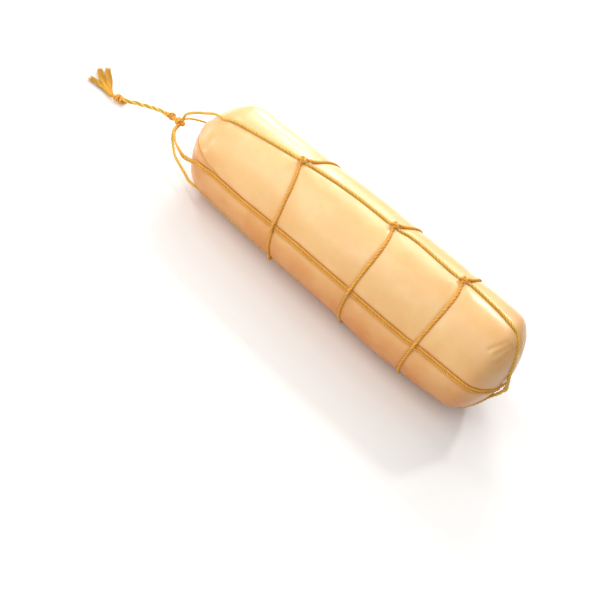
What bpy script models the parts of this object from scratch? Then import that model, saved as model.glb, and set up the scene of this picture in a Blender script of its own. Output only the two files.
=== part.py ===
"""A whole sweet provolone, shaped like a long salami, in the net of cord it is hung by.

It lies on its side. X runs along the cheese with the hanging end at -X, Z is up and the
origin is under the middle, on the surface that the cheese lies on. Lengths are in metres.
"""

import math

import bmesh
import bpy
import numpy as np

# The cheese, along its own axis from the tip of the hanging end.
LENGTH = 0.425
HANGING_RADIUS = 0.0571
MIDDLE_RADIUS = 0.0617
FOOT_RADIUS = 0.0603
RADIUS_PLACES = (0.12, 0.50, 0.88)
HANGING_DOME = 0.0373
HANGING_ROUNDNESS = 1.45
FOOT_DOME = 0.0278
FOOT_ROUNDNESS = 1.6

# How it lies: its thinner hanging end is lower, and its weight presses a flat under it.
AXIS_RISE = math.radians(0.8)
AXIS_HEIGHT_AT_TIP = 0.0581
TIP_X = -0.1880
AXIS_Y = 0.0001

# The rind swells a little between the cords and is slightly uneven.
SWELL = 0.0010
SWELL_WIDTH = 0.014
UNEVEN = 0.0005
SAG_DEPTH = 0.0022
SAG_PLACE = 0.312
SAG_LENGTH = 0.055
SAG_SPREAD = math.radians(38)
SAG_ANGLE = math.radians(-139)

# The cord, and how deep it lies in the rind.
CORD_RADIUS = 0.0017
CORD_LIFT = 0.0006
UNDER_LIFT = -0.0006
CORD_DIP = 0.0008
RING_LIFT = 0.0010
CROSSING_RISE = 0.0031
CROSSING_WIDTH = 0.0050
GROOVE_GAP = 0.0006
LEAST_HEIGHT = CORD_RADIUS + 0.00015
HEIGHT_EASE = 0.0005
FOOT_LIFT = 0.0002
CROSSING_LIFT = 0.0042
PAIR_OFFSET = 0.00195

# Where each lengthwise cord lies on the rind: distance from the tip, and angle from the
# top about the axis, positive towards +Y. The views from the front show the first two.
TOP_RUN = (
    (0.030, -26.6), (0.054, -21.7), (0.086, -16.9), (0.114, -12.6), (0.124, -12.0),
    (0.136, -9.2), (0.165, -4.8), (0.194, -1.7), (0.220, -1.0), (0.239, -1.2),
    (0.248, -0.4), (0.256, 2.4), (0.270, 3.4), (0.297, 0.9), (0.310, -0.1),
    (0.3265, -0.2), (0.335, 3.2), (0.348, 2.7), (0.373, 0.8), (0.394, -3.2),
)
FRONT_RUN = (
    (0.036, -88), (0.056, -84.4), (0.085, -84.6), (0.101, -84.8), (0.143, -82.4),
    (0.176, -80.9), (0.230, -81.2), (0.296, -82.6), (0.321, -82.8), (0.342, -81),
    (0.391, -80.5),
)
UNDER_RUN = (
    (0.043, -131), (0.100, -131), (0.150, -136), (0.250, -147), (0.391, -150),
)
FAR_RUN = ((0.032, 103), (0.100, 100), (0.250, 98), (0.391, 97))
# Where they all cross on the foot: across and up from the axis.
FOOT_CROSSING = (-0.0150, 0.0035)
FOOT_BOW = -0.0050
FOOT_KNOT = (0.0046, 0.0042, 0.0021)
SECOND_CORD_END = (-0.0156, -0.0004)

# The stiff cords stand clear of the hanging end and gather in one knot: distance along
# the axis, across and up from it.
TOP_SPAN = (
    (0.0165, -0.0200, 0.0410), (0.0017, -0.0140, 0.0288), (-0.0137, -0.0080, 0.0154),
    (-0.0262, -0.0035, 0.0020), (-0.0305, -0.0008, -0.0098),
)
FRONT_SPAN = (
    (0.0190, -0.0549, -0.0010), (0.0074, -0.0497, -0.0032), (-0.0060, -0.0395, -0.0070),
    (-0.0190, -0.0250, -0.0105), (-0.0275, -0.0110, -0.0140), (-0.0296, -0.0053, -0.0158),
)
SECOND_SPAN = (
    (0.0190, -0.0541, -0.0048), (0.0074, -0.0480, -0.0069), (-0.0060, -0.0373, -0.0104),
    (-0.0190, -0.0228, -0.0139), (-0.0262, -0.0112, -0.0178), (-0.0290, -0.0052, -0.0200),
)
UNDER_SPAN = (
    (0.0237, -0.0345, -0.0440), (0.0130, -0.0305, -0.0432), (0.0014, -0.0260, -0.0427),
    (-0.0110, -0.0210, -0.0420), (-0.0209, -0.0150, -0.0390), (-0.0300, -0.0090, -0.0338),
    (-0.0345, -0.0045, -0.0275), (-0.0345, -0.0012, -0.0224),
)
FAR_SPAN = (
    (0.0150, 0.0465, -0.0120), (-0.0010, 0.0405, -0.0150), (-0.0167, 0.0314, -0.0168),
    (-0.0260, 0.0236, -0.0166), (-0.0320, 0.0150, -0.0160), (-0.0335, 0.0056, -0.0152),
)

# Each ring of cord: its place on the front, how far its knot on the top cord is drawn to the
# hanging end and over how many degrees that fades on each side, the share of it that a slack
# far side gives back right beside the knot, how far the ring leans, and the knot's angle.
RINGS = (
    {"place": 0.150, "drawn": 0.0290, "front_fade": 46, "far_fade": 110, "slack": 0.30, "lean": 0.0095, "angle": -12.2},
    {"place": 0.249, "drawn": 0.0165, "front_fade": 25, "far_fade": 28, "slack": 0.20, "lean": 0.0160, "angle": -1.4},
    {"place": 0.3318, "drawn": 0.0095, "front_fade": 15, "far_fade": 22, "slack": 0.50, "lean": 0.0100, "angle": -0.7},
)
SLACK_FADE = math.radians(5)
TIE_KNOT = (0.0042, 0.0036, 0.0025)
KNOT_RISE = 0.0004

# The gathering knot, from its mouth to the tail: along from the tip, across and up from
# the axis. It is a barrel of turns that slims to the tail.
GATHER_START = (-0.0276, -0.0001, -0.0150)
GATHER_END = (-0.0540, 0.0010, -0.0202)
GATHER_RADIUS = 0.0045
GATHER_TURNS = 4
GATHER_RIDGE = 0.10
GATHER_SLIMMING = 0.14

# The free tail, from the gathering knot down to the surface: along from the tip of the
# cheese, across from its axis, and up from the surface.
TAIL_RADIUS = 0.0025
TAIL_ROUTE = (
    (-0.0544, 0.0012, 0.0364), (-0.0667, 0.0028, 0.0320), (-0.0798, 0.0055, 0.0245),
    (-0.0926, 0.0077, 0.0170), (-0.1032, 0.0084, 0.0115), (-0.1113, 0.0070, 0.0078),
)
END_KNOT_CENTRE = (-0.1201, 0.0025, 0.0054)
END_KNOT_SIZE = (0.0084, 0.0058, 0.0050)

# The tuft of loose ends past the end knot, lying on the surface and frayed at its tips.
TUFT_ROOT = (-0.1308, 0.0000, 0.0040)
TUFT_RADIUS = 0.0019
TUFT_FLARE = 2.0
TUFT_LEVEL = 0.0034
TUFT_LEVEL_STEP = 0.0002
TUFT_CLEARANCE = 0.0002
TUFT_SPREAD = 0.0009
TUFT_STRANDS = (
    ((-0.1442, 0.0012), (-0.1553, 0.0012), (-0.1648, -0.0004)),
    ((-0.1441, 0.0036), (-0.1576, 0.0092), (-0.1723, 0.0203)),
    ((-0.1440, 0.0066), (-0.1561, 0.0154), (-0.1691, 0.0280)),
    ((-0.1421, 0.0082), (-0.1531, 0.0178), (-0.1633, 0.0266)),
)

# How finely the shapes are divided.
AROUND = 48
DOME_ROWS = 7
SIDE_ROWS = 17
RING_POINTS = 720
FOOT_POINTS = 11
KNOT_SIDES = 12
CORD_RESOLUTION = 1
TAIL_RESOLUTION = 2
RUN_STEP = 0.006
CORD_STEP = 0.020
RING_STEP = 0.010
TAIL_STEP = 0.0065
TUFT_STEP = 0.0060
LEAST_STEP = 0.0015
CORD_BEND = math.radians(11)


def material(name, colour, roughness):
    """A plain finish in linear RGB."""
    made = bpy.data.materials.new(name)
    made.use_nodes = True
    shader = made.node_tree.nodes["Principled BSDF"]
    shader.inputs["Base Color"].default_value = (*colour, 1.0)
    shader.inputs["Roughness"].default_value = roughness
    shader.inputs["Metallic"].default_value = 0.0
    return made


def place(along, across, up):
    """Points given along, across and up from the cheese's axis, in the model's frame."""
    x = TIP_X + along * math.cos(AXIS_RISE) - up * math.sin(AXIS_RISE)
    z = AXIS_HEIGHT_AT_TIP + along * math.sin(AXIS_RISE) + up * math.cos(AXIS_RISE)
    return np.stack([x, across + AXIS_Y, z], axis=-1)


def beside_tip(points):
    """Points given from the tip, the axis and the surface below, in the model's frame."""
    return np.asarray(points, float) + np.array([TIP_X, AXIS_Y, 0.0])


def side_radius(along):
    """The radius of the long side: a parabola through the three stated radii."""
    t = np.clip(along, HANGING_DOME, LENGTH - FOOT_DOME) / LENGTH
    a, b, c = RADIUS_PLACES
    return (
        HANGING_RADIUS * (t - b) * (t - c) / ((a - b) * (a - c))
        + MIDDLE_RADIUS * (t - a) * (t - c) / ((b - a) * (b - c))
        + FOOT_RADIUS * (t - a) * (t - b) / ((c - a) * (c - b))
    )


def dome(depth_left, roundness):
    """The share of the side's radius where this share of a dome's depth is left to its tip."""
    gone = 1 - np.clip(depth_left, 0, 1)
    return (1 - gone**roundness) ** (1 / roundness)


def profile(along):
    """The mean radius at a distance from the tip."""
    along = np.clip(along, 0, LENGTH)
    hanging = dome(along / HANGING_DOME, HANGING_ROUNDNESS)
    return side_radius(along) * hanging * dome((LENGTH - along) / FOOT_DOME, FOOT_ROUNDNESS)


def run_angle(run, along):
    """The angle of a lengthwise cord, in radians, at a distance from the tip."""
    places, angles = zip(*run)
    return np.radians(np.interp(along, places, angles))


def ring_place(ring, angle):
    """How far from the tip a ring lies at each angle: a leaning plane, drawn in at its knot."""
    turn = angle - math.radians(ring["angle"])
    turn = np.arctan2(np.sin(turn), np.cos(turn))
    fade = np.radians(np.where(turn < 0, ring["front_fade"], ring["far_fade"]))
    slack = np.where(turn < 0, 0.0, ring["slack"])
    share = (1 - slack) * np.exp(-np.abs(turn) / fade) + slack * np.exp(-np.abs(turn) / SLACK_FADE)
    drawn = ring["drawn"] * share * np.cos(turn / 2) ** 2
    lean = ring["lean"] * (1 - np.cos(angle - math.radians(-80))) / 2
    return ring["place"] + lean - drawn


def cord_distance(along, angle):
    """The distance over the rind to the nearest cord."""
    radius = profile(along)
    nearest = np.full(np.broadcast(along, angle).shape, 1.0)
    for run in (TOP_RUN, FRONT_RUN, UNDER_RUN, FAR_RUN):
        turn = angle - run_angle(run, along)
        turn = np.abs(np.arctan2(np.sin(turn), np.cos(turn)))
        nearest = np.minimum(nearest, turn * radius)
    for ring in RINGS:
        nearest = np.minimum(nearest, np.abs(along - ring_place(ring, angle)))
    return nearest


def rind_radius(along, angle):
    """The mean radius, swollen between the cords, gently uneven, and heavier low in front."""
    swell = SWELL * (1 - np.exp(-((cord_distance(along, angle) / SWELL_WIDTH) ** 2)))
    waves = np.sin(2 * angle + 9 * along / LENGTH) + np.sin(3 * angle - 14 * along / LENGTH)
    turn = np.arctan2(np.sin(angle - SAG_ANGLE), np.cos(angle - SAG_ANGLE))
    sag = np.exp(-(((along - SAG_PLACE) / SAG_LENGTH) ** 2) - (turn / SAG_SPREAD) ** 2)
    tips = np.minimum(along / HANGING_DOME, (LENGTH - along) / FOOT_DOME)
    fade = np.clip(tips, 0, 1) ** 2
    return profile(along) + fade * (swell + UNEVEN * waves + SAG_DEPTH * sag)


def rind(along, angle, lift=0.0):
    """Points on the rind, or lifted off it along its normal."""

    def point(s, a):
        radius = rind_radius(s, a)
        return place(s, radius * np.sin(a), radius * np.cos(a))

    step = 0.0005
    ahead = np.clip(along + step, 0, LENGTH)
    behind = np.clip(along - step, 0, LENGTH)
    down = point(ahead, angle) - point(behind, angle)
    round_it = point(along, angle + 0.01) - point(along, angle - 0.01)
    normal = np.cross(down, round_it)
    normal /= np.linalg.norm(normal, axis=-1, keepdims=True)
    return point(along, angle) + normal * np.expand_dims(lift, -1)


def smooth_line(points, step=0.0005):
    """A Catmull-Rom curve through the points, as closely spaced points."""
    points = np.asarray(points, float)
    padded = np.vstack([2 * points[0] - points[1], points, 2 * points[-1] - points[-2]])
    pieces = []
    for before, start, end, after in zip(padded, padded[1:], padded[2:], padded[3:]):
        count = max(2, int(np.linalg.norm(end - start) / step))
        t = np.linspace(0, 1, count, endpoint=False)[:, None]
        bent = 2 * before - 5 * start + 4 * end - after
        turned = 3 * start - before - 3 * end + after
        pieces.append(start + 0.5 * t * (end - before + t * (bent + t * turned)))
    return np.vstack([*pieces, points[-1:]])


def thinned(dense, longest, bend=CORD_BEND):
    """Keeps a point wherever the line has run its longest step, or turned enough."""
    steps = np.diff(dense, axis=0)
    lengths = np.linalg.norm(steps, axis=1)
    ways = steps / lengths[:, None]
    kept = [0]
    run = 0.0
    for i in range(1, len(dense) - 1):
        run += lengths[i - 1]
        turned = math.acos(max(-1.0, min(1.0, float(ways[i] @ ways[kept[-1]]))))
        if run >= longest or (turned >= bend and run >= LEAST_STEP):
            kept.append(i)
            run = 0.0
    if run < 0.5 * CORD_RADIUS:
        kept.pop()
    return dense[kept + [len(dense) - 1]]


def foot_along(across, up):
    """How far from the tip the foot lies, this far across and up from the axis."""
    reach = np.clip(np.hypot(across, up) / float(side_radius(LENGTH)), 0, 1)
    return LENGTH - FOOT_DOME * (1 - (1 - reach**FOOT_ROUNDNESS) ** (1 / FOOT_ROUNDNESS))


def foot_line(angle, rise=0.0, end=FOOT_CROSSING, short_of=0.0, bow=0.0):
    """From the foot's shoulder over the foot, bowed sideways or not, rising near its end."""
    start = float(side_radius(LENGTH)) * np.array([math.sin(angle), math.cos(angle)])
    way = np.array(end) - start
    share = np.linspace(0, 1 - short_of / np.linalg.norm(way), FOOT_POINTS)[:, None]
    across, up = (start + share * way).T
    across = across + bow * np.sin(math.pi * share[:, 0])
    climb = np.clip((share[:, 0] - 0.6) / 0.4, 0, 1)
    lift = FOOT_LIFT + rise * climb * climb * (3 - 2 * climb)
    return rind(foot_along(across, up), np.arctan2(across, up), lift)


def foot_angle(run, offset=0.0):
    """The angle at which a lengthwise cord reaches the foot's shoulder."""
    return math.radians(run[-1][1]) + offset / float(side_radius(LENGTH))


def run_line(run, offset=0.0, lift=CORD_LIFT):
    """Down the rind from the hanging end's shoulder to the foot's."""
    along = np.arange(run[0][0], run[-1][0] + RUN_STEP / 2, RUN_STEP)
    angle = run_angle(run, along) + offset / profile(along)
    crossed = np.zeros_like(along)
    for ring in RINGS:
        crossed += np.exp(-(((along - ring_place(ring, angle)) / CROSSING_WIDTH) ** 2))
    return rind(along, angle, lift - CORD_DIP * np.clip(crossed, 0, 1))


def span_line(span):
    """The stretch that stands clear of the hanging end, from the knot to the rind."""
    return place(*np.array(span).T)[::-1]


def above_surface(points):
    """Eases points up so that a cord at them stays above what the cheese lies on."""
    over = (points[:, 2] - LEAST_HEIGHT) / HEIGHT_EASE
    return np.column_stack([points[:, :2], LEAST_HEIGHT + HEIGHT_EASE * np.logaddexp(0.0, over)])


def top_and_under_route():
    """One cord: down the top, over the foot, and back along the underside."""
    first = foot_line(foot_angle(TOP_RUN), CROSSING_LIFT, bow=FOOT_BOW)
    last = foot_line(foot_angle(UNDER_RUN), CROSSING_LIFT)
    return np.vstack([
        span_line(TOP_SPAN), run_line(TOP_RUN), first,
        last[-2::-1], run_line(UNDER_RUN, lift=UNDER_LIFT)[::-1], span_line(UNDER_SPAN)[::-1],
    ])


def front_and_far_route():
    """One cord: along the front, over the foot, and back along the far side."""
    first = foot_line(foot_angle(FRONT_RUN, PAIR_OFFSET))
    last = foot_line(foot_angle(FAR_RUN))
    return np.vstack([
        span_line(FRONT_SPAN), run_line(FRONT_RUN, PAIR_OFFSET), first,
        last[-2::-1], run_line(FAR_RUN)[::-1], span_line(FAR_SPAN)[::-1],
    ])


def second_front_route():
    """The second cord of the front pair, which ends beside the crossing on the foot."""
    foot = foot_line(foot_angle(FRONT_RUN, -PAIR_OFFSET), end=SECOND_CORD_END, short_of=0.006)
    return np.vstack([span_line(SECOND_SPAN), run_line(FRONT_RUN, -PAIR_OFFSET), foot])


def ring_route(ring):
    """Round the cheese, rising over each lengthwise cord."""
    angle = np.linspace(-math.pi, math.pi, RING_POINTS, endpoint=False)
    along = ring_place(ring, angle)
    radius = profile(along)
    rise = np.zeros_like(angle)
    for run, width in ((TOP_RUN, 0), (FRONT_RUN, PAIR_OFFSET), (UNDER_RUN, 0), (FAR_RUN, 0)):
        turn = angle - run_angle(run, along)
        away = np.abs(np.arctan2(np.sin(turn), np.cos(turn))) * radius
        away = np.maximum(away - width, 0)
        rise = np.maximum(rise, np.exp(-((away / CROSSING_WIDTH) ** 2)))
    return rind(along, angle, RING_LIFT + CROSSING_RISE * rise)


def curve_object(name, points, radius, resolution, cyclic=False, flare=None):
    """A round cord along the points, with filled ends."""
    data = bpy.data.curves.new(name, "CURVE")
    data.dimensions = "3D"
    data.bevel_depth = radius
    data.bevel_resolution = resolution
    data.use_fill_caps = True
    spline = data.splines.new("POLY")
    spline.points.add(len(points) - 1)
    spline.points.foreach_set("co", np.column_stack([points, np.ones(len(points))]).ravel())
    spline.use_cyclic_u = cyclic
    spline.use_smooth = True
    if flare is not None:
        spline.points.foreach_set("radius", flare)
    made = bpy.data.objects.new(name, data)
    bpy.context.collection.objects.link(made)
    return made


def as_mesh(source):
    """The curve's own surface as a mesh object, in place of the curve."""
    graph = bpy.context.evaluated_depsgraph_get()
    mesh = bpy.data.meshes.new_from_object(source.evaluated_get(graph))
    name = source.name
    bpy.data.objects.remove(source)
    welded = bmesh.new()
    welded.from_mesh(mesh)
    bmesh.ops.remove_doubles(welded, verts=welded.verts, dist=0.000001)
    welded.to_mesh(mesh)
    welded.free()
    made = bpy.data.objects.new(name, mesh)
    bpy.context.collection.objects.link(made)
    return made


def grid_object(name, rings, tips):
    """A closed skin over rings of points, with one point at each tip."""
    made = bmesh.new()
    rows = [[made.verts.new(point) for point in ring] for ring in rings]
    first, last = (made.verts.new(tip) for tip in tips)
    count = len(rows[0])
    for near, far in zip(rows, rows[1:]):
        for i in range(count):
            k = (i + 1) % count
            made.faces.new((near[i], near[k], far[k], far[i]))
    for i in range(count):
        k = (i + 1) % count
        made.faces.new((first, rows[0][k], rows[0][i]))
        made.faces.new((last, rows[-1][i], rows[-1][k]))
    bmesh.ops.recalc_face_normals(made, faces=made.faces)
    mesh = bpy.data.meshes.new(name)
    made.to_mesh(mesh)
    made.free()
    mesh.shade_smooth()
    item = bpy.data.objects.new(name, mesh)
    bpy.context.collection.objects.link(item)
    return item


def boolean(target, operation, other=None, collection=None):
    """Adds a live Boolean to the target."""
    cut = target.modifiers.new(operation.lower(), "BOOLEAN")
    cut.operation = operation
    cut.solver = "EXACT"
    if collection:
        cut.operand_type = "COLLECTION"
        cut.collection = collection
    else:
        cut.object = other
    return cut


def hidden(item, home=None):
    """Marks a cutter or an operand, which is no piece of the model, and puts it in its collection."""
    item.hide_render = True
    item.display_type = "WIRE"
    if home is not None:
        for old in list(item.users_collection):
            old.objects.unlink(item)
        home.objects.link(item)


def rest_flat_cutter():
    """A block whose top is the surface that the cheese lies on."""
    bpy.ops.mesh.primitive_cube_add(size=1, location=(0, 0, -0.01))
    block = bpy.context.object
    block.name = "rest_flat_cutter"
    block.scale = (2 * LENGTH, LENGTH, 0.02)
    bpy.ops.object.transform_apply(location=False, rotation=False, scale=True)
    hidden(block)
    return block


def skin_rows():
    """How far from the tip the skin has its rows: close over the domes, even between them."""
    turn = np.linspace(0, math.pi / 2, DOME_ROWS + 1)[1:]
    hanging = HANGING_DOME * (1 - np.cos(turn) ** (2 / HANGING_ROUNDNESS))
    foot = LENGTH - FOOT_DOME * (1 - np.cos(turn[::-1]) ** (2 / FOOT_ROUNDNESS))
    side = np.linspace(hanging[-1], foot[0], SIDE_ROWS + 2)[1:-1]
    return np.concatenate([hanging, side, foot])


def cheese_object(finish, routes):
    """The cheese, flattened underneath and grooved where its cords lie."""
    along = skin_rows()
    angle = np.linspace(0, 2 * math.pi, AROUND, endpoint=False)
    rings = rind(along[:, None] + 0 * angle, angle[None, :] + 0 * along[:, None])
    tips = (place(0.0, 0.0, 0.0), place(LENGTH, 0.0, 0.0))
    cheese = grid_object("cheese", rings, tips)
    cheese.data.materials.append(finish)
    boolean(cheese, "DIFFERENCE", rest_flat_cutter())
    cutters = bpy.data.collections.new("groove_cutters")
    bpy.context.scene.collection.children.link(cutters)
    radius = CORD_RADIUS + GROOVE_GAP
    for number, (points, cyclic) in enumerate(routes):
        tube = curve_object(f"groove_cutter_{number}", points, radius, CORD_RESOLUTION, cyclic)
        hidden(as_mesh(tube), cutters)
    boolean(cheese, "DIFFERENCE", collection=cutters)
    return cheese


def lump(name, centre, size, ways, sides=12, rows=7):
    """A round lump with half-sizes along three given ways."""
    polar = np.linspace(0, math.pi, rows + 2)[1:-1]
    turn = np.linspace(0, 2 * math.pi, sides, endpoint=False)
    local = np.stack([
        np.cos(polar)[:, None] + 0 * turn,
        np.sin(polar)[:, None] * np.cos(turn),
        np.sin(polar)[:, None] * np.sin(turn),
    ], axis=-1) * np.array(size)
    turned = np.asarray(ways, float)
    tips = [np.asarray(centre) + sign * size[0] * turned[0] for sign in (1, -1)]
    return grid_object(name, np.asarray(centre) + local @ turned, tips)


def ways_along(direction, upward=(0.0, 0.0, 1.0)):
    """Three square unit directions, the first along the given one."""
    first = np.asarray(direction, float) / np.linalg.norm(direction)
    second = np.cross(upward, first)
    second /= np.linalg.norm(second)
    return np.stack([first, second, np.cross(first, second)])


def ring_object(number, ring, finish):
    """A ring of cord with the half-hitch that ties it to the top cord."""
    route = above_surface(ring_route(ring))
    closed = np.vstack([route, route[:1]])
    points = thinned(closed, RING_STEP)[:-1]
    body = as_mesh(curve_object(f"ring_cord_{number}", points, CORD_RADIUS, CORD_RESOLUTION, cyclic=True))
    angle = math.radians(ring["angle"])
    along = float(ring_place(ring, np.array(angle)))
    centre = rind(np.array([along]), np.array([angle]), RING_LIFT + CROSSING_RISE + KNOT_RISE)[0]
    outward = centre - place(along, 0.0, 0.0)
    ways = ways_along(place(1.0, 0.0, 0.0) - place(0.0, 0.0, 0.0), outward)
    knot = lump(f"tie_knot_{number}", centre, TIE_KNOT, ways, sides=10, rows=5)
    boolean(body, "UNION", knot)
    hidden(knot)
    body.data.materials.append(finish)
    body.data.shade_smooth()
    return points


def gather_knot_object(finish):
    """A barrel of turns of cord that holds all the lengthwise cords."""
    start, end = place(*GATHER_START), place(*GATHER_END)
    ways = ways_along(end - start)
    share = np.linspace(0, 1, 6 * GATHER_TURNS + 1)[1:-1]
    shoulder = (1 - np.abs(2 * share - 1) ** 5) ** 0.4
    ridge = 1 - GATHER_RIDGE * (1 - np.abs(np.sin(math.pi * GATHER_TURNS * share)))
    radius = GATHER_RADIUS * shoulder * ridge * (1 - GATHER_SLIMMING * share)
    turn = np.linspace(0, 2 * math.pi, KNOT_SIDES, endpoint=False)
    centre = start + share[:, None] * (end - start)
    round_it = np.cos(turn)[:, None] * ways[1] + np.sin(turn)[:, None] * ways[2]
    rings = centre[:, None, :] + radius[:, None, None] * round_it
    knot = grid_object("gather_knot", rings, (start, end))
    knot.data.materials.append(finish)


def tail_objects(finish):
    """The free tail down to the surface, and the knot at its end."""
    route = beside_tip(TAIL_ROUTE)
    centre = beside_tip(END_KNOT_CENTRE)
    points = thinned(smooth_line(route), TAIL_STEP, math.radians(40))
    tail = curve_object("tail_cord", points, TAIL_RADIUS, TAIL_RESOLUTION)
    tail.data.materials.append(finish)
    heading = centre - route[-1]
    heading[2] = 0.0
    knot = lump("end_knot", centre, END_KNOT_SIZE, ways_along(heading), sides=14, rows=9)
    knot.data.materials.append(finish)


def tuft_object(finish):
    """The loose ends past the end knot, each flaring where it is frayed."""
    strands = bpy.data.collections.new("tuft_strands")
    bpy.context.scene.collection.children.link(strands)
    body = None
    for number, route in enumerate(TUFT_STRANDS):
        begin = np.array(TUFT_ROOT) + np.array([0.0, TUFT_SPREAD * (number - 1.5), 0.0])
        ends = [(*point, TUFT_LEVEL + TUFT_LEVEL_STEP * number) for point in route]
        points = thinned(smooth_line(beside_tip([begin, *ends])), TUFT_STEP, math.radians(20))
        share = np.linspace(0, 1, len(points))
        flare = 1.0 + (TUFT_FLARE - 1) * np.clip((share - 0.6) / 0.4, 0, 1) ** 1.5
        points[:, 2] = np.maximum(points[:, 2], TUFT_RADIUS * flare + TUFT_CLEARANCE)
        line = curve_object(f"tuft_strand_{number}", points, TUFT_RADIUS, TAIL_RESOLUTION, flare=flare)
        strand = as_mesh(line)
        if body is None:
            body = strand
            body.name = "tassel"
            continue
        hidden(strand, strands)
    boolean(body, "UNION", collection=strands)
    body.data.materials.append(finish)
    body.data.shade_smooth()


def lengthwise_objects(finish):
    """The three cords that run the length of the cheese, the first with the foot's knot."""
    lines = {
        "cord_top_and_under": top_and_under_route(),
        "cord_front_and_far": front_and_far_route(),
        "cord_front_second": second_front_route(),
    }
    routes = []
    for name, line in lines.items():
        points = above_surface(thinned(smooth_line(line), 0.020))
        cord = as_mesh(curve_object(name, points, CORD_RADIUS, CORD_RESOLUTION))
        cord.data.materials.append(finish)
        cord.data.shade_smooth()
        routes.append((points, False))
        if name == "cord_top_and_under":
            across, up = FOOT_CROSSING
            foot = rind(np.array([foot_along(across, up)]), np.array([math.atan2(across, up)]))[0]
            outward = place(1.0, 0.0, 0.0) - place(0.0, 0.0, 0.0)
            centre = foot + outward * (FOOT_LIFT + CROSSING_LIFT + KNOT_RISE)
            ways = ways_along(np.array([0.0, 0.0, 1.0]), outward)
            knot = lump("foot_knot", centre, FOOT_KNOT, ways, sides=10, rows=5)
            hidden(knot)
            boolean(cord, "UNION", knot)
    return routes


def main():
    for item in list(bpy.data.objects):
        bpy.data.objects.remove(item)
    rind_finish = material("waxed rind", (0.86, 0.60, 0.31), 0.38)
    cord_finish = material("golden cord", (0.80, 0.44, 0.09), 0.72)
    routes = lengthwise_objects(cord_finish)
    for number, ring in enumerate(RINGS, start=1):
        routes.append((ring_object(number, ring, cord_finish), True))
    cheese_object(rind_finish, routes)
    gather_knot_object(cord_finish)
    tail_objects(cord_finish)
    tuft_object(cord_finish)


main()
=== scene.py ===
"""The visual model of a whole sweet provolone in its net of cord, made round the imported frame.

Lengths are in metres. X runs along the cheese from its hanging end, Y is across and Z is up.
Every skin is a grid of points worked out as whole arrays. A point on the rind is given by
its distance from the tip of the hanging end and its angle from the top, positive towards +Y.
"""

import math

import bpy
import numpy as np
from mathutils import Matrix


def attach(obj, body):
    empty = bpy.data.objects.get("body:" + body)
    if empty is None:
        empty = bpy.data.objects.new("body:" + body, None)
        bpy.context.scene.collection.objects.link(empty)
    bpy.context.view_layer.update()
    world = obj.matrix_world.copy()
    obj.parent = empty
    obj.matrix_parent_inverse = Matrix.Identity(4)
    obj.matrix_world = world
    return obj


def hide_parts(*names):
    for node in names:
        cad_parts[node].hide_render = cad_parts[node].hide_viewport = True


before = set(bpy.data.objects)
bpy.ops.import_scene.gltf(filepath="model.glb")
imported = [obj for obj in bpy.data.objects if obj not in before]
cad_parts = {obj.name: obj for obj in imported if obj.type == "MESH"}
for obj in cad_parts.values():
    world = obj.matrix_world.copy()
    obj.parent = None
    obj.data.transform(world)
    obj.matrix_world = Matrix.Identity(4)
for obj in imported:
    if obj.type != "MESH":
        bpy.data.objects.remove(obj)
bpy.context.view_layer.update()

# The camera: where it stands, its turn about Z from +Y, its dip, its roll and its lens.
CAMERA_PLACE = (0.16253, -0.65144, 0.60052)
CAMERA_TURN = math.radians(13.2957)
CAMERA_DIP = math.radians(43.9471)
CAMERA_ROLL = math.radians(32.0727)
LENS = 47.99
SENSOR = 36.0

# The cheese, along its own axis from the tip of the hanging end, and how it lies.
LENGTH = 0.425
HANGING_RADIUS = 0.0571
MIDDLE_RADIUS = 0.0617
FOOT_RADIUS = 0.0603
RADIUS_PLACES = (0.12, 0.50, 0.88)
HANGING_DOME = 0.0373
HANGING_ROUNDNESS = 1.45
FOOT_DOME = 0.0278
FOOT_ROUNDNESS = 1.6
SHOULDER_EASE = 0.010
EASE_SHARES = (-0.9, -0.6, -0.35, -0.12, 0.12, 0.35, 0.6, 0.9)
AXIS_RISE = math.radians(0.8)
AXIS_HEIGHT_AT_TIP = 0.0581
TIP_X = -0.1880
AXIS_Y = 0.0001

# The rind swells a little between the cords, is slightly uneven, and sags low in front. A patch
# is given by its place, its length, its angle and its spread.
SWELL = 0.0010
SWELL_WIDTH = 0.014
UNEVEN = 0.0005
UNEVEN_WAVES = ((2, 9), (3, -14))
SAG_DEPTH = 0.0022
SAG = (0.312, 0.055, math.radians(-139), math.radians(38))

# The cord, and how deep it lies in the rind.
CORD_RADIUS = 0.00180
CORD_LIFT = 0.0003
UNDER_LIFT = -0.0006
CORD_DIP = 0.0008
RING_LIFT = -0.0001
CROSSING_RISE = 0.0030
CROSSING_WIDTH = 0.0040
TAUT_WIDTH = 0.0075
LEAST_HEIGHT = CORD_RADIUS + 0.00015
HEIGHT_EASE = 0.0005
FOOT_LIFT = 0.0002
CROSSING_LIFT = 0.0042
PAIR_OFFSET = 0.00134
PAIR_RADIUS = 0.00135

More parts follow.
